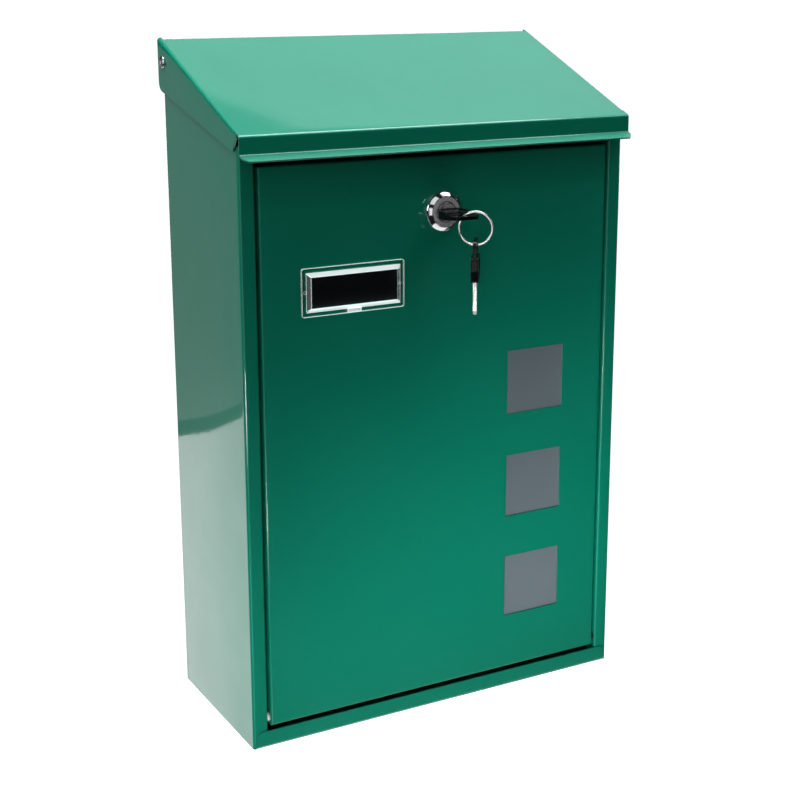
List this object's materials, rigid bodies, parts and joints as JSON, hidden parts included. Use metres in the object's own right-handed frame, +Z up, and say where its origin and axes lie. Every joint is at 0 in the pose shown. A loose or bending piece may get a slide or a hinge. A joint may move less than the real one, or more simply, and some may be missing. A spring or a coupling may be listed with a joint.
{
  "type": "wall post box",
  "caption": "Wall-mounted sheet steel post box with a sloping hinged lid over the mail slot, a lockable drop-down door, square windows, a name plate and keys on a ring.",
  "frame": {"origin": "middle of the four wall screw holes, on the wall plane", "axes": "+Y points into the wall, so the front faces -Y; +Z is up; +X is right as seen from the front"},
  "size_m": [0.2254, 0.1371, 0.3552],
  "materials": {
    "green_paint": "glossy powder coat",
    "white_nylon": "smooth",
    "zinc": "bright zinc plate",
    "chrome": "polished",
    "key_steel": "nickel plated",
    "brass": "plain",
    "black_plastic": "fine moulded grain",
    "black_card": "smooth card",
    "clear_plastic": "clear acrylic",
    "frosted_plastic": "frosted acrylic over the dark inside"
  },
  "bodies": {
    "housing": {"housing_wrap": "green_paint", "bottom_panel": "green_paint", "front_top_rail": "green_paint", "door_hinge_pins": "white_nylon", "lid_pivot_rivets": "zinc", "lid_pivot_washers": "zinc"},
    "lid": {"lid": "green_paint"},
    "door": {"door_panel": "green_paint", "window_strip": "frosted_plastic", "name_plate_cover": "clear_plastic", "name_card": "black_card", "name_plate_clips": "zinc", "lock_housing": "chrome", "lock_nut": "zinc"},
    "plug": {"lock_plug": "chrome", "lock_wafers": "brass", "lock_cam": "zinc", "cam_washer": "zinc", "cam_screw": "zinc"},
    "key": {"key_1_blade": "key_steel", "key_1_head": "black_plastic"},
    "ring": {"key_ring": "key_steel"},
    "spare_key": {"key_2_blade": "key_steel", "key_2_head": "black_plastic"}
  },
  "joints": [
    {"name": "lid_hinge", "type": "hinge", "parent": "housing", "child": "lid", "pos_m": [0, -0.0125, 0.1783], "axis": [-1, 0, 0], "range_deg": [0, 28]},
    {"name": "door_hinge", "type": "hinge", "parent": "housing", "child": "door", "pos_m": [0, -0.102, -0.1495], "axis": [1, 0, 0], "range_deg": [0, 115]},
    {"name": "lock_turn", "type": "hinge", "parent": "door", "child": "plug", "pos_m": [0, -0.105, 0.1076], "axis": [0, -1, 0], "range_deg": [0, 90]},
    {"name": "key_slide", "type": "slide", "parent": "plug", "child": "key", "axis": [0, -1, 0], "range_m": [0, 0.02]},
    {"name": "ring_swing", "type": "hinge", "parent": "key", "child": "ring", "pos_m": [0, -0.1261, 0.1076], "axis": [-0.5592, -0.829, 0], "range_deg": [0, 80]},
    {"name": "spare_key_swing", "type": "hinge", "parent": "ring", "child": "spare_key", "pos_m": [0.00515, -0.12958, 0.0938], "axis": [0.829, -0.5592, 0], "range_deg": [-25, 25]}
  ]
}
